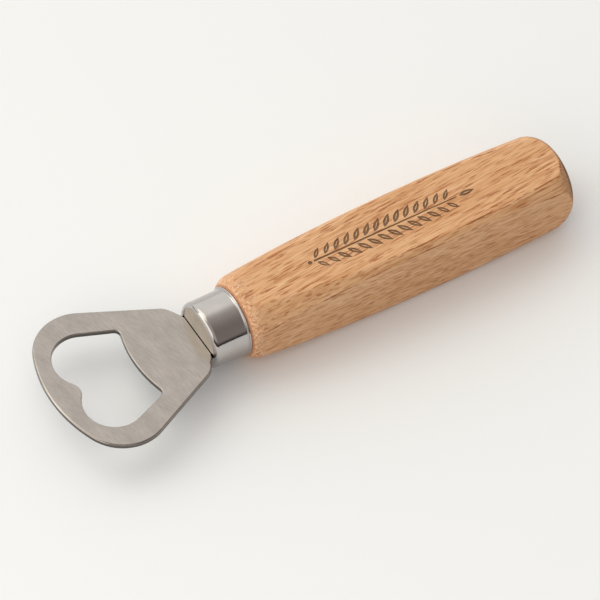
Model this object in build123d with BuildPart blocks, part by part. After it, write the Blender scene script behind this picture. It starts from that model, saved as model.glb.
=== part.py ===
from build123d import *
from math import cos, hypot, radians, sin, sqrt, tan
import os

# Bottle opener: a stamped steel head whose tang is glued through a slotted ferrule
# into a turned wooden handle. Millimetres. +X runs from the head to the handle's butt,
# +Z is the upper side of the plate, and the origin is under the middle of the opener,
# on the surface that the handle's lower flat rests on.

# Handle: a square bar, turned to a barrel profile
bar_side = 21.4
handle_length = 101.35
barrel_radius = 14.2
barrel_apex = 57.0            # from the ferrule's rear rim to the thickest place
barrel_arc = 600.0
nose_start_radius = 9.95
nose_arc = 4.7
butt_arc = 6.5
butt_dome = 33.0

# Ferrule: a drawn cup, closed at the front, with a flared rear lip
ferrule_length = 11.0
ferrule_radius = 9.35
ferrule_wall = 0.7
ferrule_edge = 1.5
lip_radius = 9.85
lip_length = 0.55
lip_flare = 0.6
slot_gap = 0.3

# Head plate: distances from the middle of the cap mouth
plate_thickness = 1.6
rim_edge_round = 0.5          # the tumbled outer edge
mouth_edge_round = 0.3
head_front = 21.8
front_arc = 38.3
corner_arc = 13.0
corner_half_spacing = 10.0
side_slope = 24.9
shoulder_back = 19.95
shoulder_round = 6.0
neck_half_width = 7.25
mouth_to_ferrule = 22.85

# Cap mouth
tooth_forward = 13.3
tooth_round = 3.7
lobe_forward = 7.65
lobe_radius = 8.4
mouth_slope = 21.2
mouth_corner = 1.65
fulcrum_back = 3.75
fulcrum_arc = 34.8

# Tang and its glued socket
neck_depth = 1.6
tang_root_half = 4.0
tang_tip_half = 3.0
tang_length = 38.0
tang_tip_round = 1.5
socket_radius = 4.4
socket_extra = 2.0

overall_length = head_front + mouth_to_ferrule + ferrule_length + handle_length
axis_height = bar_side / 2
front_x = -overall_length / 2
mouth_x = front_x + head_front
face_x = mouth_x + mouth_to_ferrule
rim_x = face_x + ferrule_length
butt_x = rim_x + handle_length
cup_floor_x = face_x + ferrule_wall
spigot_radius = ferrule_radius - ferrule_wall
spigot_end_x = cup_floor_x + neck_depth
tang_tip_x = rim_x + tang_length
socket_end_x = tang_tip_x + socket_extra
long_axis = Axis((0, 0, axis_height), (1, 0, 0))


def toward(centre, through, radius):
    """The point of a circle in the direction of another point."""
    dx = through[0] - centre[0]
    dy = through[1] - centre[1]
    gap = hypot(dx, dy)
    return centre[0] + radius * dx / gap, centre[1] + radius * dy / gap


def on_circle(centre, radius, degrees):
    """The point of a circle at an angle."""
    return (centre[0] + radius * cos(radians(degrees)),
            centre[1] + radius * sin(radians(degrees)))


def circles_meet(centre_a, radius_a, centre_b, radius_b):
    """Where two circles cross, to the left of the line from the first centre to the second."""
    dx = centre_b[0] - centre_a[0]
    dy = centre_b[1] - centre_a[1]
    gap = hypot(dx, dy)
    along = (radius_a ** 2 - radius_b ** 2 + gap ** 2) / (2 * gap)
    across = sqrt(radius_a ** 2 - along ** 2)
    return (centre_a[0] + (along * dx - across * dy) / gap,
            centre_a[1] + (along * dy + across * dx) / gap)


def line_meets_circle(start, degrees, centre, radius):
    """Where a line that leaves a point at an angle first meets a circle."""
    ux = cos(radians(degrees))
    uy = sin(radians(degrees))
    dx = start[0] - centre[0]
    dy = start[1] - centre[1]
    half_b = dx * ux + dy * uy
    reach = -half_b - sqrt(half_b ** 2 - dx ** 2 - dy ** 2 + radius ** 2)
    return start[0] + reach * ux, start[1] + reach * uy


def add_arc(centre, start, end):
    """Draw the shorter arc from start to end about a centre."""
    radius = hypot(start[0] - centre[0], start[1] - centre[1])
    middle = toward(centre, ((start[0] + end[0]) / 2, (start[1] + end[1]) / 2), radius)
    ThreePointArc(start, middle, end)


# ---------------------------------------------------------------- head plate
# Half outlines on the +Y side, mirrored: a front arc, a corner arc, a straight side
# that closes in, and a rounded shoulder down to the neck in the ferrule's slot.
front_centre = (front_x + front_arc, 0)
corner_centre = (
    front_centre[0] - sqrt((front_arc - corner_arc) ** 2 - corner_half_spacing ** 2),
    corner_half_spacing,
)
corner_start = toward(front_centre, corner_centre, front_arc)
corner_end = on_circle(corner_centre, corner_arc, 90 - side_slope)
shoulder_x = mouth_x + shoulder_back
shoulder_y = corner_end[1] - (shoulder_x - corner_end[0]) * tan(radians(side_slope))

# The mouth: a rounded tooth between two lobes, sides that close in, and a fulcrum
# edge that bows towards the tooth.
tooth_centre = (mouth_x - tooth_forward - tooth_round, 0)
lobe_x = mouth_x - lobe_forward
lobe_centre = (
    lobe_x,
    sqrt((lobe_radius + tooth_round) ** 2 - (tooth_centre[0] - lobe_x) ** 2),
)
tooth_end = toward(tooth_centre, lobe_centre, tooth_round)
lobe_side = on_circle(lobe_centre, lobe_radius, 140)
lobe_end = on_circle(lobe_centre, lobe_radius, 90 - mouth_slope)
fulcrum_centre = (mouth_x + fulcrum_back + fulcrum_arc, 0)
mouth_back = line_meets_circle(lobe_end, -mouth_slope, fulcrum_centre, fulcrum_arc)

with BuildPart() as head_plate:
    with BuildSketch(Plane.XY.offset(axis_height - plate_thickness / 2)) as head_sketch:
        with BuildLine() as head_outline:
            add_arc(front_centre, (front_x, 0), corner_start)
            add_arc(corner_centre, corner_start, corner_end)
            Polyline(
                corner_end,
                (shoulder_x, shoulder_y),
                (face_x, neck_half_width),
                (spigot_end_x, neck_half_width),
                (spigot_end_x, tang_root_half),
                (tang_tip_x, tang_tip_half),
                (tang_tip_x, 0),
            )
            mirror(about=Plane.XZ)
        make_face()
        shoulder_corners = head_sketch.vertices().filter_by_position(
            Axis.X, shoulder_x - 0.01, shoulder_x + 0.01)
        fillet(shoulder_corners, shoulder_round)
        tip_corners = head_sketch.vertices().group_by(Axis.X)[-1]
        fillet(tip_corners.group_by(Axis.Y)[0] + tip_corners.group_by(Axis.Y)[-1],
               tang_tip_round)
        with BuildSketch(mode=Mode.PRIVATE) as mouth:
            with BuildLine() as mouth_outline:
                add_arc(tooth_centre, (tooth_centre[0] + tooth_round, 0), tooth_end)
                add_arc(lobe_centre, tooth_end, lobe_side)
                add_arc(lobe_centre, lobe_side, lobe_end)
                Line(lobe_end, mouth_back)
                add_arc(fulcrum_centre, mouth_back, (mouth_x + fulcrum_back, 0))
                mirror(about=Plane.XZ)
            make_face()
            mouth_corners = mouth.vertices().filter_by_position(
                Axis.X, mouth_back[0] - 0.01, mouth_back[0] + 0.01)
            fillet(mouth_corners, mouth_corner)
        add(mouth.sketch, mode=Mode.SUBTRACT)
    extrude(amount=plate_thickness)
    mouth_wires = [face.inner_wires()[0] for face in head_plate.faces().filter_by(Axis.Z)]
    fillet([edge for wire in mouth_wires for edge in wire.edges()], mouth_edge_round)
    rim_wires = [face.outer_wire() for face in head_plate.faces().filter_by(Axis.Z)]
    fillet([edge for wire in rim_wires for edge in wire.edges()], rim_edge_round)

head_plate.part.label = "head_plate"

# ---------------------------------------------------------------- ferrule
with BuildPart() as ferrule:
    with BuildSketch(Plane.XZ) as ferrule_profile:
        with BuildLine() as ferrule_outline:
            Polyline(
                (face_x, axis_height),
                (face_x, axis_height + ferrule_radius),
                (rim_x - lip_length - lip_flare, axis_height + ferrule_radius),
                (rim_x - lip_length, axis_height + lip_radius),
                (rim_x, axis_height + lip_radius),
                (rim_x, axis_height + spigot_radius),
                (cup_floor_x, axis_height + spigot_radius),
                (cup_floor_x, axis_height),
                close=True,
            )
        make_face()
        front_corner = ferrule_profile.vertices().group_by(Axis.X)[0].sort_by(Axis.Y)[-1]
        fillet(front_corner, ferrule_edge)
    revolve(axis=long_axis)
    with BuildSketch(Plane.YZ.offset(face_x)) as slot_section:
        with Locations((0, axis_height)):
            Rectangle(2 * (neck_half_width + slot_gap), plate_thickness + 2 * slot_gap)
    extrude(amount=ferrule_wall, mode=Mode.SUBTRACT)

ferrule.part.label = "ferrule"

# ---------------------------------------------------------------- handle
# The half profile of nose, barrel, butt and dome is four arcs, each tangent to the
# next. The bar's four flats cut the turned shape.
barrel_centre = (rim_x + barrel_apex, axis_height + barrel_radius - barrel_arc)
nose_start = (rim_x, axis_height + nose_start_radius)
nose_centre = circles_meet(nose_start, nose_arc, barrel_centre, barrel_arc - nose_arc)
nose_end = toward(barrel_centre, nose_centre, barrel_arc)
dome_centre = (butt_x - butt_dome, axis_height)
butt_centre = circles_meet(dome_centre, butt_dome - butt_arc,
                           barrel_centre, barrel_arc - butt_arc)
butt_start = toward(barrel_centre, butt_centre, barrel_arc)
dome_start = toward(dome_centre, butt_centre, butt_dome)

with BuildPart() as handle:
    with BuildSketch(Plane.XZ) as handle_profile:
        with BuildLine() as handle_outline:
            add_arc(nose_centre, nose_start, nose_end)
            add_arc(barrel_centre, nose_end, butt_start)
            add_arc(butt_centre, butt_start, dome_start)
            add_arc(dome_centre, dome_start, (butt_x, axis_height))
            Polyline(
                (butt_x, axis_height),
                (spigot_end_x, axis_height),
                (spigot_end_x, axis_height + spigot_radius),
                (rim_x, axis_height + spigot_radius),
                nose_start,
            )
        make_face()
    revolve(axis=long_axis)
    with BuildSketch(Plane.YZ.offset(spigot_end_x)) as bar_section:
        with Locations((0, axis_height)):
            Rectangle(bar_side, bar_side)
    extrude(amount=butt_x - spigot_end_x, mode=Mode.INTERSECT)
    with BuildSketch(Plane.YZ.offset(spigot_end_x)) as socket_section:
        with Locations((0, axis_height)):
            Circle(socket_radius)
    extrude(amount=socket_end_x - spigot_end_x, mode=Mode.SUBTRACT)

handle.part.label = "handle"

# ---------------------------------------------------------------- tang adhesive
with BuildPart() as tang_adhesive:
    with BuildSketch(Plane.YZ.offset(cup_floor_x)) as front_fill:
        with Locations((0, axis_height)):
            Circle(spigot_radius)
    extrude(amount=neck_depth)
    with BuildSketch(Plane.YZ.offset(spigot_end_x)) as socket_fill:
        with Locations((0, axis_height)):
            Circle(socket_radius)
    extrude(amount=socket_end_x - spigot_end_x)
    add(head_plate.part, mode=Mode.SUBTRACT)

tang_adhesive.part.label = "tang_adhesive"

os.makedirs("parts", exist_ok=True)
export_step(head_plate.part, "parts/head_plate.step")
export_step(ferrule.part, "parts/ferrule.step")
export_step(handle.part, "parts/handle.step")
export_step(tang_adhesive.part, "parts/tang_adhesive.step")
print("overall length", overall_length)
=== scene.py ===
from math import cos, hypot, pi, radians, sin, sqrt

import bpy
import numpy as np
from mathutils import Matrix, Vector
from mathutils.geometry import delaunay_2d_cdt


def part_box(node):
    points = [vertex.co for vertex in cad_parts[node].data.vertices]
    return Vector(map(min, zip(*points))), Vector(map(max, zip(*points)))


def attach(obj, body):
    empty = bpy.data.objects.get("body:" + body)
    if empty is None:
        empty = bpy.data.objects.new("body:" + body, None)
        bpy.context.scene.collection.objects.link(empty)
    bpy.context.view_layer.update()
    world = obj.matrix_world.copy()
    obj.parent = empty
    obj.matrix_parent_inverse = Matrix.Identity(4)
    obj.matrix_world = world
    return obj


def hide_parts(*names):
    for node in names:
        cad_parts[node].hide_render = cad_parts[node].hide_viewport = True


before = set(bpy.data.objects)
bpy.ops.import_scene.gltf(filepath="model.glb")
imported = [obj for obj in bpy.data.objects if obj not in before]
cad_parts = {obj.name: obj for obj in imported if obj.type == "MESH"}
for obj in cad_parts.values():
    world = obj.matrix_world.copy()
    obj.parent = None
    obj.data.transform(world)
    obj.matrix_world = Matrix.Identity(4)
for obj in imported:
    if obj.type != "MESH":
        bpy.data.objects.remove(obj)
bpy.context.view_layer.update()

# Bottle opener. Metres, in the CAD's frame: +X from the head to the handle's butt and +Z up.
# The steel head and the glue are the CAD nodes with better materials. The bright ferrule and the
# wooden handle are finer meshes that stand in for their CAD nodes: the ferrule has a rounded
# rear lip, the handle has soft ridges, open pores and a burnt-in laurel branch.

MM = 0.001

# ---------------------------------------------------------------- places, from the CAD
ferrule_low, ferrule_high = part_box("ferrule")
handle_low, handle_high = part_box("handle")
glue_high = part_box("tang_adhesive")[1]
face_x = ferrule_low.x
rim_x = ferrule_high.x
spigot_x = handle_low.x
socket_x = glue_high.x
butt_x = handle_high.x
bar_half = (handle_high.z - handle_low.z) / 2
axis_z = (handle_high.z + handle_low.z) / 2

# ---------------------------------------------------------------- handle sizes
barrel_radius = 14.2 * MM
barrel_apex = 57 * MM
barrel_arc = 600 * MM
nose_start_radius = 9.95 * MM
nose_arc = 4.7 * MM
butt_arc = 6.5 * MM
butt_dome = 33 * MM
spigot_radius = 8.65 * MM
socket_radius = 4.4 * MM
ridge_blend = 0.3 * MM        # how far the turned shape and the flats melt into each other

columns = 440                 # vertices round the handle
barrel_step = 0.58 * MM
end_step = 0.45 * MM
handle_crease = 50            # degrees, edges sharper than this stay sharp

# ---------------------------------------------------------------- ferrule sizes
ferrule_radius = 9.35 * MM
ferrule_wall = 0.7 * MM
ferrule_edge = 1.5 * MM
lip_bead = 0.33 * MM          # radius of the rounded rim
lip_hollow = 0.5 * MM         # radius of the hollow in front of it
slot_half_width = 7.55 * MM
slot_half_height = 1.2 * MM
slot_points = 25              # along each long side of the slot
profile_step = 0.1 * MM
ferrule_columns = 240
ferrule_crease = 35

# ---------------------------------------------------------------- the burnt laurel branch
branch_start = 22.4 * MM      # behind the ferrule's rear rim
branch_length = 51.5 * MM
leaf_pairs = 14
leaf_length = 4.7 * MM
leaf_half = 0.78 * MM
leaf_angle = 47               # degrees between a leaf and the stem
leaf_fullness = 0.85          # below 1 the leaf is widest nearer to its root
leaf_gap = 0.32 * MM          # between the stem and a leaf's root
leaf_shrink = 0.2             # how much smaller the leaves at the branch's ends are
leaf_points = 14
rib_start = 0.24              # shares of the leaf's length
rib_length = 0.52
rib_half = 0.13 * MM
rib_points = 8
bead_radius = 0.62 * MM
bead_points = 18
stem_half = 0.3 * MM
stem_tip = 0.35               # the stem's narrowest width, as a share of its widest
stem_points = 60
stem_start = 3 * bead_radius
stem_stop = 1.15 * leaf_length          # before the branch's end
first_leaf = 4 * bead_radius
last_leaf = 1.9 * leaf_length           # before the branch's end
burn_depth = 0.14 * MM
panel_half_columns = 29
outline_margin = 0.09 * MM    # the grid's own vertices keep this far from an outline

inside_loops = 1              # how the triangulation is asked for what lies inside its loops
loop_tolerance = 1e-6

# ---------------------------------------------------------------- pores
grain_yaw = 5.0               # degrees, the fibres' slope across the top flat
grain_pitch = -1.6            # degrees, their slope down the side flats
grain_wander = 1.2            # degrees, how much single pores stray from that slope
pore_seed = 4
pore_count = 3400
ridge_pore_count = 90         # torn ones, where the flats end
bold_rarity = 2.6             # the higher, the fewer bold pores
torn_boldness = 0.3           # the least boldness of a torn one
pore_half_length = (0.7, 2.4)           # millimetres: the faintest's, and what boldness adds
pore_half_width = (0.12, 0.07)
pore_depth = (0.03, 0.09)
length_chance = 0.9           # millimetres that chance adds to the half length
pore_tone = (0.45, 0.55)
torn_tone = (0.8, 0.8)
side_cosine = 0.72            # of the angle from the top or bottom where the side flats begin
side_depth = 0.6              # pores on the side flats, as a share of those on top
side_tone = 0.85
rim_clearance = 0.2 * MM      # no pores this near to the ferrule
axis_clearance = 0.1 * spigot_radius    # or to the middle of the butt
heart_offset = (0, -21 * MM, 14 * MM)   # from the tree's heart to the handle's axis
nose_speckle = 6.5 * MM       # how far back the nose shows its fibres' ends
lip_shadow_back = 0.5 * MM          # painted shadow behind the ferrule's lip: where it ends, and where it has its full tone
lip_shadow_front = 0.1 * MM

# ---------------------------------------------------------------- colours, linear
ground_pale = (0.8, 0.502, 0.279)
ground_warm = (0.72, 0.417, 0.213)
band_brown = (0.63, 0.32, 0.14)
streak_brown = (0.55, 0.252, 0.1)
streak_pale = (0.86, 0.58, 0.355)
fibre_brown = (0.6, 0.3, 0.145)
pore_fine = (0.42, 0.17, 0.065)
pore_dash = (0.37, 0.125, 0.04)
pore_open = (0.4, 0.14, 0.05)
pore_torn = (0.1, 0.045, 0.02)
nose_warm = (0.66, 0.34, 0.165)
nose_pale = (0.87, 0.62, 0.45)
nose_torn = (0.47, 0.19, 0.08)
nose_dot = (0.42, 0.15, 0.055)
# painted shadow on the wood where it meets the ferrule's lip
lip_shadow_brown = (0.45, 0.17, 0.07)
end_pale = (0.44, 0.215, 0.095)
end_ring = (0.34, 0.15, 0.062)
end_dot = (0.17, 0.065, 0.025)
# a darker band round the butt's rounded rim
end_rim_dark = (0.17, 0.07, 0.028)
scorch = (0.30, 0.31, 0.34)             # multiplies the wood's colour where it is burnt
steel_light = (0.415, 0.376, 0.348)
steel_dark = (0.32, 0.292, 0.269)
# partly the sheared edges' duller steel, partly painted shade on the plate's walls and edge
# roundings
steel_sheared_and_shade = (0.11, 0.1, 0.092)
chrome_light = (0.5, 0.475, 0.465)
chrome_dark = (0.47, 0.447, 0.437)
# the glue is painted almost black: painted shade in the slot's gap
glue_shade_dark = (0.012, 0.009, 0.006)
glue_shade_light = (0.03, 0.02, 0.012)
paper_light = (0.91, 0.95, 0.995)
paper_dark = (0.9, 0.94, 0.985)


# ================================================================ shapes
def toward(centre, through, radius):
    """The point of a circle in the direction of another point."""
    dx = through[0] - centre[0]
    dy = through[1] - centre[1]
    gap = hypot(dx, dy)
    return centre[0] + radius * dx / gap, centre[1] + radius * dy / gap


def circles_meet(centre_a, radius_a, centre_b, radius_b):
    """Where two circles cross, to the left of the line from the first centre to the second."""
    dx = centre_b[0] - centre_a[0]
    dy = centre_b[1] - centre_a[1]
    gap = hypot(dx, dy)
    along = (radius_a ** 2 - radius_b ** 2 + gap ** 2) / (2 * gap)
    across = sqrt(radius_a ** 2 - along ** 2)
    return (centre_a[0] + (along * dx - across * dy) / gap,
            centre_a[1] + (along * dy + across * dx) / gap)


def arc_points(centre, start, end, step):
    """Points along the shorter arc about a centre, without its last point."""
    radius = hypot(start[0] - centre[0], start[1] - centre[1])
    first = np.arctan2(start[1] - centre[1], start[0] - centre[0])
    turn = np.arctan2(end[1] - centre[1], end[0] - centre[0]) - first
    turn = (turn + pi) % (2 * pi) - pi
    count = max(2, round(abs(turn) * radius / step))
    angles = first + turn * np.arange(count) / count
    return [(centre[0] + radius * cos(a), centre[1] + radius * sin(a)) for a in angles]


def handle_rings():
    """(x, radius) of each ring from the socket's end, round the spigot and nose to the butt.

    Also returns how many of them are hidden inside the ferrule and the socket.
    """
    barrel_centre = (rim_x + barrel_apex, barrel_radius - barrel_arc)
    nose_start = (rim_x, nose_start_radius)
    nose_centre = circles_meet(nose_start, nose_arc, barrel_centre, barrel_arc - nose_arc)
    nose_end = toward(barrel_centre, nose_centre, barrel_arc)
    dome_centre = (butt_x - butt_dome, 0)
    butt_centre = circles_meet(dome_centre, butt_dome - butt_arc,
                               barrel_centre, barrel_arc - butt_arc)
    butt_start = toward(barrel_centre, butt_centre, barrel_arc)
    dome_start = toward(dome_centre, butt_centre, butt_dome)
    hidden = [
        (socket_x, socket_radius / 2),
        (socket_x, socket_radius),
        ((socket_x + rim_x) / 2, socket_radius),
        (spigot_x, socket_radius),
        (spigot_x, (socket_radius + spigot_radius) / 2),
        (spigot_x, spigot_radius),
        ((spigot_x + rim_x) / 2, spigot_radius),
        (rim_x, spigot_radius),
    ]
    outside = arc_points(nose_centre, nose_start, nose_end, end_step)
    outside += arc_points(barrel_centre, nose_end, butt_start, barrel_step)
    outside += arc_points(butt_centre, butt_start, dome_start, end_step)
    outside += arc_points(dome_centre, dome_start, (butt_x, 0), barrel_step)
    return np.array(hidden + outside), len(hidden)


def ferrule_profile():
    """(x, radius) round the ferrule's wall, from the edge of its front face to its floor."""
    inner_radius = ferrule_radius - ferrule_wall
    floor_x = face_x + ferrule_wall
    edge_centre = (face_x + ferrule_edge, ferrule_radius - ferrule_edge)
    bead_centre = (rim_x - lip_bead, ferrule_high.z - axis_z - lip_bead)
    hollow_radius = ferrule_radius + lip_hollow
    drop = hollow_radius - bead_centre[1]
    hollow_centre = (bead_centre[0] - sqrt((lip_hollow + lip_bead) ** 2 - drop ** 2), hollow_radius)
    touch = toward(bead_centre, hollow_centre, lip_bead)
    floor_round = ferrule_edge - ferrule_wall
    floor_centre = (floor_x + floor_round, inner_radius - floor_round)
    rows = arc_points(edge_centre, (face_x, edge_centre[1]),
                      (edge_centre[0], ferrule_radius), profile_step)
    rows += [(edge_centre[0], ferrule_radius), ((face_x + rim_x) / 2, ferrule_radius)]
    rows += arc_points(hollow_centre, (hollow_centre[0], ferrule_radius), touch,
                       profile_step / 2)
    bead_top = (bead_centre[0], bead_centre[1] + lip_bead)
    rows += arc_points(bead_centre, touch, bead_top, profile_step / 2)
    rows += arc_points(bead_centre, bead_top, (rim_x, bead_centre[1]), profile_step / 2)
    rows += [(rim_x, bead_centre[1]), (rim_x, inner_radius)]
    rows += arc_points(floor_centre, (floor_centre[0], inner_radius),
                       (floor_x, floor_centre[1]), profile_step)
    rows.append((floor_x, floor_centre[1]))
    return np.array(rows)


def slotted_disc(points, ring, turn):
    """Close a ring of vertices with a flat face round the slot.

    turn is 1 for a face that looks towards -X and -1 for one that looks towards +X. Returns all
    vertices, of which the slot's are the last, and the new faces.
    """
    across = np.linspace(-slot_half_width, slot_half_width, slot_points)
    height = np.full(slot_points, slot_half_height)
    slot = np.concatenate([np.stack([across, -height], 1), np.stack([across[::-1], height], 1)])
    flat = np.concatenate([points[ring][:, 1:] - (0, axis_z), slot])
    loops = [list(range(ferrule_columns)),
             list(range(ferrule_columns, ferrule_columns + len(slot)))]
    found = delaunay_2d_cdt([Vector(p) / MM for p in flat], [], loops,
                            inside_loops, loop_tolerance)
    number = np.concatenate([ring, len(points) + np.arange(len(slot))])
    faces = []
    for triangle, owners in zip(found[2], found[5]):
        if 1 in owners:
            continue
        a, b, c = (Vector(found[0][i]) for i in triangle)
        facing = (b - a).cross(c - a) * -turn
        corners = [number[found[3][i][0]] for i in triangle]
        faces.append(tuple(corners if facing > 0 else corners[::-1]))
    x = np.full(len(slot), points[ring[0], 0])
    rim = np.column_stack([x, slot[:, 0], slot[:, 1] + axis_z])
    return np.concatenate([points, rim]), faces


def build_ferrule():
    """The drawn cup: a turned wall, and a front face with the slot cut through it."""
    profile = ferrule_profile()
    angle = 2 * pi * np.arange(ferrule_columns) / ferrule_columns
    points = np.concatenate([surface_point(x, r, angle) for x, r in profile])
    grid = np.arange(len(points)).reshape(len(profile), ferrule_columns)
    onward = np.roll(grid, -1, 1)
    quads = np.stack([grid[:-1], onward[:-1], onward[1:], grid[1:]], -1)
    faces = [tuple(q) for q in quads.reshape(-1, 4)]
    for ring, turn in ((grid[0], 1), (grid[-1], -1)):
        points, disc = slotted_disc(points, ring, turn)
        faces += disc

    slot_size = 2 * slot_points
    front = len(points) - 2 * slot_size + np.arange(slot_size)
    back = front + slot_size
    for i in range(slot_size):
        j = (i + 1) % slot_size
        faces.append((front[j], front[i], back[i], back[j]))
    return solid("ferrule_shell", points, faces, ferrule_crease)


def solid(name, points, faces, sharp_degrees):
    """A smooth-shaded mesh object with sharp edges above an angle."""
    mesh = bpy.data.meshes.new(name)
    mesh.from_pydata(points.tolist(), [], [[int(n) for n in f] for f in faces])
    mesh.polygons.foreach_set("use_smooth", np.ones(len(mesh.polygons), bool))
    mesh.set_sharp_from_angle(angle=radians(sharp_degrees))
    made = bpy.data.objects.new(name, mesh)
    bpy.context.scene.collection.objects.link(made)
    return made


def soft_min(a, b, blend):
    """The smaller of a and b, rounded off where they are nearly equal."""
    near = np.clip(1 - np.abs(a - b) / blend, 0, 1)
    return np.minimum(a, b) - near ** 2 * blend / 4


def bar_reach(angle):
    """How far the square bar's surface is from its axis, at an angle from +Z."""
    return bar_half / np.maximum(np.abs(np.cos(angle)), np.abs(np.sin(angle)))


def surface_point(x, radius, angle):
    """A point round the long axis, at an angle from +Z that turns towards -Y."""
    return np.stack([x + 0 * angle, -radius * np.sin(angle), axis_z + radius * np.cos(angle)], -1)


def lens(root, degrees, length, half_width, points):
    """A closed leaf shape from its root, turned by degrees from +X."""
    t = np.linspace(0, 1, points)
    width = half_width * np.sin(pi * t ** leaf_fullness)
    along = np.concatenate([t, t[-2:0:-1]]) * length
    across = np.concatenate([width, -width[-2:0:-1]])
    c = cos(radians(degrees))
    s = sin(radians(degrees))
    return np.stack([root[0] + along * c - across * s, root[1] + along * s + across * c], 1)


def leaf(root, degrees, length, half_width):
    """A leaf and the pale rib inside it, as two outlines."""
    rib_root = (root[0] + rib_start * length * cos(radians(degrees)),
                root[1] + rib_start * length * sin(radians(degrees)))
    return [lens(root, degrees, length, half_width, leaf_points),
            lens(rib_root, degrees, rib_length * length, rib_half, rib_points)]


def branch_outlines():
    """Closed outlines of the laurel branch, seen from above."""
    start = rim_x + branch_start
    end = start + branch_length
    stem_x = np.linspace(start + stem_start, end - stem_stop, stem_points)
    taper = stem_half * (stem_tip + (1 - stem_tip) * np.sqrt((end - stem_x) / branch_length))
    outlines = [np.concatenate([np.stack([stem_x, -taper], 1),
                                np.stack([stem_x, taper], 1)[::-1]])]
    turn = np.linspace(0, 2 * pi, bead_points, endpoint=False)
    outlines.append(np.stack([start + bead_radius * (1 + np.cos(turn)),
                              bead_radius * np.sin(turn)], 1))
    for i, root_x in enumerate(np.linspace(start + first_leaf, end - last_leaf, leaf_pairs)):
        from_middle = 2 * i / (leaf_pairs - 1) - 1
        size = 1 - leaf_shrink * from_middle ** 2
        for side in (1, -1):
            outlines += leaf((root_x, side * (stem_half + leaf_gap)), side * leaf_angle,
                             leaf_length * size, leaf_half * size)
    outlines += leaf((end - leaf_length, 0), 0, leaf_length, leaf_half)
    return outlines


def distance_to_outlines(points, outlines):
    """How far each point is from the nearest outline."""
    nearest = np.full(len(points), 1.0)
    for outline in outlines:
        side = np.roll(outline, -1, 0) - outline
        reach = points[:, None] - outline[None]
        share = np.clip((reach * side).sum(2) / (side ** 2).sum(1), 0, 1)
        gap = np.linalg.norm(reach - share[..., None] * side, axis=2).min(1)
        nearest = np.minimum(nearest, gap)
    return nearest


def panel_triangles(border, inner, outlines):
    """Triangulate a flat panel round the outlines of the branch.

    border and inner are the (x, y) of known vertices. Returns the (x, y) of all corners, the
    triangles, which of them are burnt, and for each corner the number of its known vertex or -1.
    """
    known = len(border) + len(inner)
    loops = [list(range(len(border)))]
    used = known
    for outline in outlines:
        loops.append(list(range(used, used + len(outline))))
        used += len(outline)
    flat = [Vector(p) / MM for p in np.concatenate([border, inner] + outlines)]
    found = delaunay_2d_cdt(flat, [], loops, inside_loops, loop_tolerance)
    corners = np.array(found[0]) * MM
    triangles = np.array(found[2])
    # a rib lies inside a leaf, so what is inside an odd number of outlines is burnt
    burnt = np.array([sum(f > 0 for f in owners) % 2 == 1 for owners in found[5]])
    sources = np.array([o[0] if o and o[0] < known else -1 for o in found[3]])

    a, b, c = (corners[triangles[:, i]] for i in range(3))
    turned = (b - a)[:, 0] * (c - a)[:, 1] - (b - a)[:, 1] * (c - a)[:, 0] < 0
    triangles[turned] = triangles[turned][:, ::-1]
    return corners, triangles, burnt, sources


def sunk_faces(triangles, burnt, top, low):
    """The faces at the flat's level, the burnt ones below it, and the walls between."""
    faces = [tuple(top[t]) for t in triangles[~burnt]] + [tuple(low[t]) for t in triangles[burnt]]
    edges = {(t[i], t[(i + 1) % 3]) for t in triangles[burnt] for i in range(3)}
    for p, q in sorted(edges):
        if (q, p) not in edges:
            faces.append((top[p], top[q], low[q], low[p]))
    return faces


def carved_panel(points, grid, first, last):
    """The top flat between two rings, triangulated round the branch, with the branch sunk in.

    points are the handle's vertices so far and grid their numbers by ring and column. Returns
    all vertices, the new faces and the numbers of the vertices at the burnt depth.
    """
    across = np.arange(-panel_half_columns, panel_half_columns + 1) % columns
    block = grid[first:last + 1][:, across]
    border = np.concatenate([block[0, :-1], block[:-1, -1], block[-1, :0:-1], block[:0:-1, 0]])
    outlines = branch_outlines()
    inner = block[1:-1, 1:-1].ravel()
    inner = inner[distance_to_outlines(points[inner, :2], outlines) > outline_margin]
    corners, triangles, burnt, sources = panel_triangles(points[border, :2], points[inner, :2],
                                                         outlines)
    flat_z = points[block[0, 0], 2]
    known = np.concatenate([border, inner])
    fresh = np.flatnonzero(sources < 0)
    top = known[sources]
    top[fresh] = len(points) + np.arange(len(fresh))
    sunk = np.unique(triangles[burnt])
    low = np.full(len(corners), -1)
    low[sunk] = len(points) + len(fresh) + np.arange(len(sunk))
    fresh_points = np.column_stack([corners[fresh], np.full(len(fresh), flat_z)])
    sunk_points = np.column_stack([corners[sunk], np.full(len(sunk), flat_z - burn_depth)])
    points = np.concatenate([points, fresh_points, sunk_points])
    return points, sunk_faces(triangles, burnt, top, low), low[sunk]


def ridge_point(x, quarter, side, rings):
    """Where a flat of the bar ends and the turned strip beside it begins."""
    radius = np.interp(x, *rings.T)
    spread = np.arccos(np.clip(bar_half / radius, 0, 1))
    return surface_point(x, radius - ridge_blend / 4, quarter * pi / 2 + side * spread)


def by_boldness(size, bold):
    """A size of the faintest pore, and what boldness adds to it."""
    return size[0] + size[1] * bold


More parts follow.
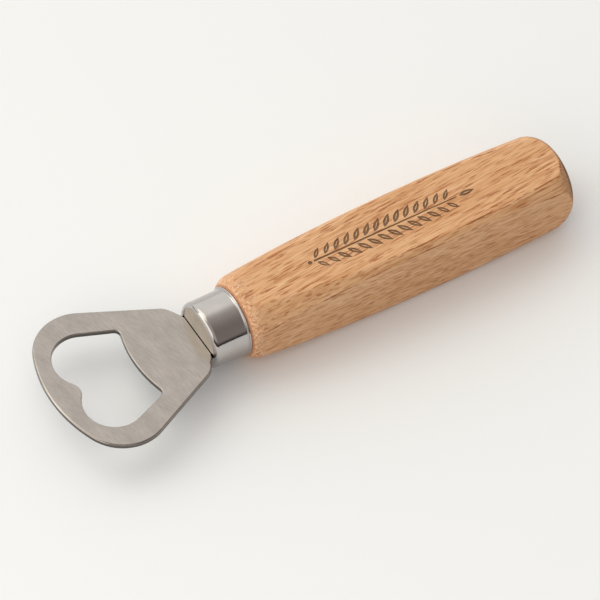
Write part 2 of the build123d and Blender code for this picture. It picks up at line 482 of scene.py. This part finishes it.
def scatter_pores(rings, rng):
    """Random pores: centre, direction, half length, half width, depth and tone of each."""
    count = pore_count + ridge_pore_count
    torn = slice(pore_count, count)
    x = rng.uniform(rim_x, butt_x, count)
    angle = rng.uniform(-pi, pi, count)
    radius = soft_min(bar_reach(angle), np.interp(x, *rings.T), ridge_blend)
    centre = surface_point(x, radius, angle)
    tilt = rng.normal(0, radians(grain_wander), (count, 2))
    along = np.stack([np.ones(count),
                      np.tan(radians(grain_yaw) + tilt[:, 0]),
                      np.tan(radians(grain_pitch) + tilt[:, 1])], 1)
    quarter = rng.integers(0, 4, ridge_pore_count)
    side = rng.choice((-1, 1), ridge_pore_count)
    centre[torn] = ridge_point(x[torn], quarter, side, rings)
    onward = ridge_point(x[torn] + MM, quarter, side, rings)
    along[torn] = (onward - centre[torn]) / MM
    along /= np.linalg.norm(along, axis=1)[:, None]

    bold = rng.random(count) ** bold_rarity
    bold[torn] = rng.uniform(torn_boldness, 1, ridge_pore_count)
    chance = length_chance * rng.random(count)
    half_length = (by_boldness(pore_half_length, bold) + chance) * MM
    half_width = by_boldness(pore_half_width, bold) * MM
    on_side = np.abs(np.cos(angle)) <= side_cosine
    depth = by_boldness(pore_depth, bold) * MM * np.where(on_side, side_depth, 1)
    tone = by_boldness(pore_tone, bold) * np.where(on_side, side_tone, 1)
    tone[torn] = by_boldness(torn_tone, bold[torn])
    return list(zip(centre, along, half_length, half_width, depth, tone))


def open_pores(points, pores):
    """How deep the pores reach at each vertex, and their tone there.

    A pore is a long thin ellipsoid centred on the surface: it leaves a dash where the wood is
    cut along the grain and a speck where the nose and the butt cut across it.
    """
    order = np.argsort(points[:, 0])
    sorted_x = points[order, 0]
    sunk = np.zeros(len(points))
    shade = np.zeros(len(points))
    for centre, along, half_length, half_width, depth, tone in pores:
        low, high = np.searchsorted(sorted_x, (centre[0] - half_length, centre[0] + half_length))
        near = order[low:high]
        offset = points[near] - centre
        reach = offset @ along
        wide = (offset ** 2).sum(1) - reach ** 2
        inside = np.clip(1 - (reach / half_length) ** 2 - wide / half_width ** 2, 0, 1)
        sunk[near] = np.maximum(sunk[near], depth * inside)
        shade[near] = np.maximum(shade[near], tone * np.sqrt(inside))
    return sunk, shade


def cut_pores(points, rings):
    """The vertices with the pores pressed in, and the pores' tone at each."""
    sunk, shade = open_pores(points, scatter_pores(rings, np.random.default_rng(pore_seed)))
    from_axis = np.hypot(points[:, 1], points[:, 2] - axis_z)
    open_wood = (points[:, 0] > rim_x + rim_clearance) & (from_axis > axis_clearance)
    inward = np.stack([0 * sunk, -points[:, 1], axis_z - points[:, 2]], 1)
    inward /= np.maximum(np.linalg.norm(inward, axis=1), MM)[:, None]
    return points + inward * (sunk * open_wood)[:, None], shade * open_wood


def turned_points(rings, hidden):
    """The vertices of every ring. Those that show are cut back to the square bar."""
    angle = 2 * pi * np.arange(columns) / columns
    points = []
    for i, (x, radius) in enumerate(rings):
        reach = np.full(columns, radius)
        if i >= hidden:
            reach = soft_min(bar_reach(angle), reach, ridge_blend)
        points.append(surface_point(x, reach, angle))
    return np.concatenate(points)


def panel_rings(rings, hidden):
    """The first and the last ring of the panel that holds the branch."""
    shown_x = rings[hidden:, 0]
    margin = 2 * barrel_step
    start = rim_x + branch_start
    first = np.searchsorted(shown_x, start - margin) + hidden
    last = np.searchsorted(shown_x, start + branch_length + margin) + hidden
    return first, last


def handle_faces(grid, poles, first, last):
    """The faces between the rings and over both ends, without the panel's."""
    next_column = np.roll(grid, -1, 1)
    quads = np.stack([grid[:-1], next_column[:-1], next_column[1:], grid[1:]], -1)
    from_top = (np.arange(columns) + columns // 2) % columns - columns // 2
    in_panel = np.zeros(quads.shape[:2], bool)
    in_panel[first:last] = (from_top >= -panel_half_columns) & (from_top < panel_half_columns)
    faces = [tuple(q) for q in quads[~in_panel]]
    faces += [(poles[0], grid[0, (j + 1) % columns], grid[0, j]) for j in range(columns)]
    faces += [(grid[-1, j], grid[-1, (j + 1) % columns], poles[1]) for j in range(columns)]
    return faces


def build_handle():
    """The wooden handle's mesh, with the attributes pore and burn for its material."""
    rings, hidden = handle_rings()
    points = turned_points(rings, hidden)
    grid = np.arange(len(points)).reshape(len(rings), columns)
    poles = len(points) + np.arange(2)
    points = np.concatenate([points, [(socket_x, 0, axis_z), (butt_x, 0, axis_z)]])
    first, last = panel_rings(rings, hidden)
    faces = handle_faces(grid, poles, first, last)
    points, panel_faces, burnt = carved_panel(points, grid, first, last)
    faces += panel_faces

    used = np.unique(np.concatenate([np.ravel(f) for f in faces]))
    number = np.full(len(points), -1)
    number[used] = np.arange(len(used))
    faces = [number[list(f)] for f in faces]
    burn = np.zeros(len(points))
    burn[burnt] = 1

    points, shade = cut_pores(points[used], rings[hidden:])
    handle = solid("handle_wood", points, faces, handle_crease)
    for name, values in (("pore", shade), ("burn", burn[used])):
        attribute = handle.data.attributes.new(name, "FLOAT", "POINT")
        attribute.data.foreach_set("value", values.astype(np.float32))
    return handle


# ================================================================ materials
class Nodes:
    """Short calls that add nodes to a tree and join them."""

    def __init__(self, tree):
        self.tree = tree

    def node(self, kind, **settings):
        """A new node with its settings."""
        made = self.tree.nodes.new(kind)
        for name, value in settings.items():
            setattr(made, name, value)
        return made

    def feed(self, socket, value):
        """Link a socket to another node's output, or set it to a number, colour or vector."""
        if isinstance(value, bpy.types.NodeSocket):
            self.tree.links.new(value, socket)
        elif isinstance(value, tuple) and len(socket.default_value) == 4:
            socket.default_value = (*value, 1.0)
        else:
            socket.default_value = value

    def fill(self, node, **values):
        """Feed a node's inputs by name, with _ for a space."""
        for name, value in values.items():
            self.feed(node.inputs[name.replace("_", " ")], value)
        return node

    def ramp(self, value, low, high, to_low=0.0, to_high=1.0, smooth=False):
        """A value between low and high, moved to between to_low and to_high."""
        kind = "SMOOTHSTEP" if smooth else "LINEAR"
        made = self.node("ShaderNodeMapRange", interpolation_type=kind)
        self.fill(made, Value=value, From_Min=low, From_Max=high, To_Min=to_low, To_Max=to_high)
        return made.outputs["Result"]

    def math(self, operation, a, b=0.0):
        """A sum, product or the like of two numbers."""
        made = self.node("ShaderNodeMath", operation=operation)
        self.feed(made.inputs[0], a)
        self.feed(made.inputs[1], b)
        return made.outputs["Value"]

    def vector(self, operation, a, b):
        """A node that joins two vectors."""
        made = self.node("ShaderNodeVectorMath", operation=operation)
        self.feed(made.inputs[0], a)
        self.feed(made.inputs[1], b)
        return made

    def mix(self, share, a, b, blend="MIX"):
        """Two colours mixed by a share."""
        made = self.node("ShaderNodeMix", data_type="RGBA", blend_type=blend)
        for number, value in ((0, share), (6, a), (7, b)):
            self.feed(made.inputs[number], value)
        return made.outputs[2]

    def split(self, vector):
        """The X, Y and Z of a vector."""
        made = self.node("ShaderNodeSeparateXYZ")
        self.fill(made, Vector=vector)
        return made.outputs


class Look(Nodes):
    """A material made of nodes."""

    def __init__(self, name):
        self.material = bpy.data.materials.new(name)
        self.material.use_nodes = True
        super().__init__(self.material.node_tree)
        self.shader = self.tree.nodes["Principled BSDF"]
        coordinates = self.node("ShaderNodeTexCoord")
        self.place = coordinates.outputs["Object"]
        self.normal = coordinates.outputs["Normal"]

    def scaled(self, x, y, z, yaw=0.0, pitch=0.0):
        """Object coordinates, turned by degrees and multiplied along each axis."""
        turned = self.node("ShaderNodeVectorRotate", rotation_type="EULER_XYZ", invert=True)
        self.fill(turned, Vector=self.place)
        turned.inputs["Rotation"].default_value = (0, -radians(pitch), radians(yaw))
        return self.vector("MULTIPLY", turned.outputs["Vector"], (x, y, z)).outputs["Vector"]

    def grained(self, along, across, turn=0.0):
        """Object coordinates multiplied along the grain and across it."""
        return self.scaled(along, across, across, grain_yaw + turn, grain_pitch)

    def noise(self, where, scale=1.0, detail=2.0, roughness=0.5, distortion=0.0):
        """Cloudy noise from 0 to 1."""
        made = self.node("ShaderNodeTexNoise")
        self.fill(made, Vector=where, Scale=scale, Detail=detail, Roughness=roughness,
                  Distortion=distortion)
        return made.outputs["Fac"]

    def specks(self, where, low, high, most=1.0):
        """Scattered specks: most up to the distance low from their middles, 0 from high on."""
        made = self.node("ShaderNodeTexVoronoi")
        self.fill(made, Vector=where, Scale=1.0)
        return self.ramp(made.outputs["Distance"], low, high, most, 0, smooth=True)

    def attribute(self, name):
        """A number stored at the mesh's vertices."""
        return self.node("ShaderNodeAttribute", attribute_name=name).outputs["Fac"]

    def bump(self, height, distance):
        """Give the shader a surface that a height raises by up to a distance."""
        made = self.node("ShaderNodeBump")
        self.fill(made, Height=height, Distance=distance, Strength=1.0)
        self.fill(self.shader, Normal=made.outputs["Normal"])


def grain_colour(look, bands, fibres):
    """Straw-coloured wood with brown bands, dark and pale streaks and fine fibres."""
    clouds = look.noise(look.grained(9, 150), detail=3, distortion=0.4)
    dark = look.noise(look.grained(75, 1700), detail=2)
    pale = look.noise(look.grained(60, 1300, turn=1), detail=2)
    colour = look.mix(look.ramp(clouds, 0.35, 0.68), ground_pale, ground_warm)
    colour = look.mix(look.ramp(bands, 0.48, 0.72, 0, 0.55), colour, band_brown)
    colour = look.mix(look.ramp(dark, 0.5, 0.62, 0, 0.75), colour, streak_brown)
    colour = look.mix(look.ramp(pale, 0.54, 0.66, 0, 0.6), colour, streak_pale)
    return look.mix(look.ramp(fibres, 0.4, 0.66, 0, 0.5), colour, fibre_brown)


def add_pores(look, colour, bands, fibres, fine):
    """Fine pores, clusters of dashes, and the pores that are cut into the mesh."""
    dashes = look.specks(look.grained(80, 1150, turn=1.5), 0.13, 0.22)
    clusters = look.ramp(bands, 0.42, 0.54, 0.25, 1.0)
    cut = look.math("ADD", look.attribute("pore"), look.ramp(fibres, 0.3, 0.7, -0.15, 0.15))
    colour = look.mix(look.math("MULTIPLY", fine, 0.75), colour, pore_fine)
    colour = look.mix(look.math("MULTIPLY", dashes, clusters), colour, pore_dash)
    colour = look.mix(look.ramp(cut, 0.25, 0.75, 0, 0.95), colour, pore_open)
    return look.mix(look.ramp(cut, 0.9, 1.5, 0, 0.9), colour, pore_torn)


def add_nose(look, colour, dots):
    """The fibres' ends on the nose, and a painted shadow on the wood just behind the ferrule's lip.
    """
    x = look.split(look.place)["X"]
    nose = look.ramp(x, rim_x + nose_speckle, rim_x, smooth=True)
    pale = look.noise(look.scaled(1200, 2600, 2600), detail=2)
    torn = look.noise(look.scaled(800, 1900, 1900, 30), detail=2)
    for share, tint in ((0.3, nose_warm),
                        (look.ramp(pale, 0.51, 0.6, 0, 0.85), nose_pale),
                        (look.ramp(torn, 0.54, 0.64, 0, 0.7), nose_torn),
                        (look.math("MULTIPLY", dots, 0.5), nose_dot)):
        colour = look.mix(look.math("MULTIPLY", nose, share), colour, tint)
    # painted shadow where the wood meets the ferrule's lip
    lip_shadow = look.ramp(x, rim_x + lip_shadow_back, rim_x + lip_shadow_front, 0, 0.7, smooth=True)
    return look.mix(lip_shadow, colour, lip_shadow_brown)


def end_grain(look, bands, dots):
    """The butt's colour, with growth rings and a darker band round its rounded rim, and the share of
    it that shows.
    """
    facing = look.split(look.normal)["X"]
    from_heart = look.vector("ADD", look.place, heart_offset).outputs["Vector"]
    rings = look.node("ShaderNodeTexWave", wave_type="RINGS", rings_direction="X")
    look.fill(rings, Vector=from_heart, Scale=110.0, Distortion=2.5, Detail=2.0)
    colour = look.mix(look.ramp(rings.outputs["Fac"], 0.2, 0.8), end_pale, end_ring)
    colour = look.mix(dots, colour, end_dot)
    patchy = look.math("ADD", facing, look.ramp(bands, 0.3, 0.7, -0.03, 0.03))
    # darker band where the butt's dome rounds over, set by which way the surface faces
    colour = look.mix(look.ramp(patchy, 0.985, 0.88, 0, 0.85, smooth=True), colour, end_rim_dark)
    oil_soaked = look.ramp(facing, 0.1, 0.55, 0, 0.42)
    return colour, look.math("ADD", oil_soaked, look.ramp(facing, 0.66, 0.78, 0, 0.56))


def wood_look():
    """Pale open-grained hardwood under a thin satin coat, darkened where it is burnt."""
    look = Look("oiled_wood")
    bands = look.noise(look.grained(14, 420), detail=3)
    fibres = look.noise(look.grained(120, 3600), detail=3, roughness=0.6)
    fine = look.specks(look.grained(110, 1500), 0.14, 0.3)
    dots = look.specks(look.scaled(900, 1900, 1900), 0.2, 0.36, 0.85)
    burn = look.attribute("burn")
    colour = grain_colour(look, bands, fibres)
    colour = add_pores(look, colour, bands, fibres, fine)
    colour = add_nose(look, colour, dots)
    end_colour, end_share = end_grain(look, bands, dots)
    colour = look.mix(end_share, colour, end_colour)
    colour = look.mix(burn, colour, look.mix(1.0, colour, scorch, blend="MULTIPLY"))

    rough = look.ramp(fibres, 0.3, 0.7, 0.42, 0.56)
    rough = look.math("ADD", rough, look.math("MULTIPLY", burn, 0.25))
    rough = look.math("ADD", rough, look.math("MULTIPLY", end_share, 0.4))
    look.fill(look.shader, Base_Color=colour, Roughness=rough, Specular_IOR_Level=0.28)
    raised = look.math("MULTIPLY", fibres, 0.4)
    look.bump(look.math("SUBTRACT", raised, look.math("MULTIPLY", fine, 0.6)), 0.03 * MM)
    return look.material


def steel_look():
    """Tumbled stainless plate; its steep walls and edge roundings are painted darker, partly as the
    duller sheared steel and partly as painted shade.
    """
    look = Look("satin_steel")
    cloud = look.noise(look.scaled(230, 110, 230, 14), detail=3, roughness=0.6)
    brushed = look.noise(look.scaled(2600, 350, 2600, 14), detail=3, roughness=0.6)
    grain = look.math("ADD", look.math("MULTIPLY", cloud, 0.5), look.math("MULTIPLY", brushed, 0.5))
    upright = look.math("ABSOLUTE", look.split(look.normal)["Z"])
    colour = look.mix(look.ramp(grain, 0.35, 0.65), steel_light, steel_dark)
    # painted shade: the steeper the surface, the darker it is, on the walls and edge roundings;
    # partly also the sheared edges' duller steel
    colour = look.mix(look.ramp(upright, 0.1, 0.45, 1, 0), colour, steel_sheared_and_shade)
    rough = look.ramp(grain, 0.35, 0.65, 0.12, 0.18)
    look.fill(look.shader, Base_Color=colour, Metallic=1.0, Roughness=rough)
    look.bump(brushed, 0.002 * MM)
    return look.material


def ferrule_look():
    """Bright drawn metal with faint lines round it."""
    look = Look("bright_ferrule")
    lines = look.noise(look.scaled(2400, 12, 12), detail=2)
    smudge = look.noise(look.scaled(1, 1, 1), scale=300, detail=3)
    colour = look.mix(look.ramp(smudge, 0.35, 0.7), chrome_light, chrome_dark)
    rough = look.ramp(smudge, 0.3, 0.7, 0.05, 0.11)
    look.fill(look.shader, Base_Color=colour, Metallic=1.0, Roughness=rough)
    look.bump(lines, 0.0002 * MM)
    return look.material


def glue_look():
    """Cured amber epoxy, seen only in the ferrule's slot, made almost black as painted shade for the
    dark gap in the slot.
    """
    look = Look("epoxy")
    cloud = look.noise(look.scaled(1, 1, 1), scale=700, detail=3)
    # near-black: painted shade in the slot's gap
    look.fill(look.shader, Base_Color=look.mix(cloud, glue_shade_dark, glue_shade_light),
              Roughness=look.ramp(cloud, 0.3, 0.7, 0.3, 0.45))
    return look.material


def floor_look():
    """Matt white studio paper."""
    look = Look("studio_paper")
    fibre = look.noise(look.scaled(1, 1, 1), scale=900, detail=3)
    look.fill(look.shader, Base_Color=look.mix(fibre, paper_dark, paper_light),
              Roughness=0.9, Specular_IOR_Level=0.0)
    return look.material


def dress(node, material):
    """Give a CAD node its material."""
    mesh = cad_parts[node].data
    mesh.materials.clear()
    mesh.materials.append(material)


# ================================================================ studio
view_azimuth = 233.6          # degrees from +X, where the camera stands
view_elevation = 53.0
view_roll = 6.1
view_distance = 4.8
view_lens = 1093.2
aim = Vector((-3.79 * MM, -2.66 * MM, axis_z))
clip_distance = 4 * view_distance
floor_half = 3.0
floor_drop = 0.02 * MM        # the floor is this far below the opener

wall_peak = 1.2
# the walls and ceiling from the front (0) to the back (1): share of the peak, its green and blue
wall_fade = [(0.0, 0.275, 0.87, 0.8), (0.2, 0.217, 0.85, 0.78), (0.36, 0.333, 0.88, 0.82),
             (0.5, 0.433, 0.91, 0.86), (0.6, 0.55, 0.94, 0.88), (0.7, 1.0, 0.98, 0.94),
             (0.8, 1.0, 0.98, 0.94), (1.0, 0.95, 0.98, 0.94)]
left_level = 0.48             # the front wall at the left of its dim gap
right_level = 0.4             # and at the right of it
side_tint = (1.0, 0.9, 0.82)
skirting_front = 0.12 * wall_peak       # the foot of the wall
skirting_back = 0.9 * wall_peak
back_way = (1, 0.7, 0)        # towards the middle of the back wall


def direction(azimuth, elevation):
    """The unit vector towards an azimuth from +X and an elevation, in degrees."""
    a = radians(azimuth)
    e = radians(elevation)
    return Vector((cos(e) * cos(a), cos(e) * sin(a), sin(e)))


def add_camera():
    """The camera, turned about its own line of sight by view_roll."""
    back = direction(view_azimuth, view_elevation)
    level = Vector((0, 0, 1)).cross(back).normalized()
    upright = back.cross(level)
    roll = radians(view_roll)
    right = cos(roll) * level + sin(roll) * upright
    up = cos(roll) * upright - sin(roll) * level
    camera = bpy.data.objects.new("camera", bpy.data.cameras.new("camera"))
    camera.data.lens = view_lens
    camera.data.clip_end = clip_distance
    turn = Matrix((right, up, back)).transposed().to_4x4()
    camera.matrix_world = Matrix.Translation(aim + view_distance * back) @ turn
    bpy.context.scene.collection.objects.link(camera)
    bpy.context.scene.camera = camera


def soft_light(name, azimuth, elevation, distance, width, height, brightness, colour):
    """A rectangular soft box that faces the opener. Brightness is its radiance."""
    lamp = bpy.data.lights.new(name, "AREA")
    lamp.shape = "RECTANGLE"
    lamp.size = width
    lamp.size_y = height
    lamp.energy = brightness * pi * width * height
    lamp.color = colour
    box = bpy.data.objects.new(name, lamp)
    out = direction(azimuth, elevation)
    box.matrix_world = (Matrix.Translation(distance * out)
                        @ out.to_track_quat("Z", "Y").to_matrix().to_4x4())
    box.visible_camera = False
    bpy.context.scene.collection.objects.link(box)
    return box


def wall_colour(nodes, y):
    """The colour of the walls and the ceiling, from the front to the back."""
    fade = nodes.node("ShaderNodeValToRGB")
    elements = fade.color_ramp.elements
    fade.color_ramp.interpolation = "B_SPLINE"
    while len(elements) < len(wall_fade):
        elements.new(0.5)
    for element, (position, level, green, blue) in zip(elements, wall_fade):
        element.position = position
        element.color = (level, level * green, level * blue, 1)
    nodes.fill(fade, Fac=nodes.ramp(y, -1, 1))
    return fade.outputs["Color"]


def side_walls(nodes, x, z):
    """The lighter parts of the front wall at both sides of its dim gap."""
    left_top = nodes.ramp(z, 0.12, 0.35, 0, left_level, smooth=True)
    left = nodes.ramp(x, 0.26, 0, 0, left_top, smooth=True)
    right = nodes.ramp(x, 0.48, 0.7, 0, right_level, smooth=True)
    return nodes.mix(nodes.math("MAXIMUM", left, right), (0, 0, 0), side_tint)


def wall_strength(nodes, place, z):
    """The brightness of the walls: full above the skirting, which is darker at the front."""
    back = nodes.vector("DOT_PRODUCT", place, back_way).outputs["Value"]
    skirting = nodes.ramp(back, 0.1, 0.6, skirting_front, skirting_back, smooth=True)
    skirting_top = nodes.ramp(back, -1.0, -0.4, 0.42, 0.24, smooth=True)
    return nodes.ramp(z, 0.02, skirting_top, skirting, wall_peak, smooth=True)


def add_world():
    """An even studio: a bright back wall that fades over the ceiling to a dim, warm front."""
    world = bpy.data.worlds.new("studio")
    world.use_nodes = True
    bpy.context.scene.world = world
    nodes = Nodes(world.node_tree)
    place = nodes.node("ShaderNodeTexCoord").outputs["Generated"]
    x, y, z = nodes.split(place)
    colour = nodes.mix(1.0, wall_colour(nodes, y), side_walls(nodes, x, z), blend="LIGHTEN")
    nodes.fill(nodes.tree.nodes["Background"], Color=colour, Strength=wall_strength(nodes, place, z))


def add_lights():
    """Two soft boxes that show in the metal, and a fill that only lights."""
    soft_light("left_box", azimuth=177, elevation=22, distance=1.3, width=1.85, height=0.92,
               brightness=1.15, colour=(1.0, 0.985, 0.97))
    soft_light("key_box", azimuth=126, elevation=54, distance=1.2, width=1.02, height=1.02,
               brightness=0.84, colour=(1.0, 0.94, 0.71))
    fill = soft_light("front_fill", azimuth=228, elevation=44, distance=1.2, width=1.0, height=1.0,
                      brightness=0.52, colour=(1.0, 0.93, 0.8))
    fill.visible_glossy = False     # it would show as a bright patch on the ferrule


def add_floor():
    """The pale studio floor under the opener."""
    half = floor_half
    mesh = bpy.data.meshes.new("floor")
    corners = [(-half, -half, 0), (half, -half, 0), (half, half, 0), (-half, half, 0)]
    mesh.from_pydata(corners, [], [(0, 1, 2, 3)])
    mesh.materials.append(floor_look())
    floor = bpy.data.objects.new("floor", mesh)
    floor.location.z = -floor_drop
    bpy.context.scene.collection.objects.link(floor)


# ================================================================ the scene
handle = build_handle()
handle.data.materials.append(wood_look())
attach(handle, "root")
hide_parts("handle")

ferrule = build_ferrule()
ferrule.data.materials.append(ferrule_look())
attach(ferrule, "root")
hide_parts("ferrule")

dress("head_plate", steel_look())
dress("tang_adhesive", glue_look())

add_floor()
add_world()
add_lights()
add_camera()
bpy.context.scene.view_settings.view_transform = "Standard"
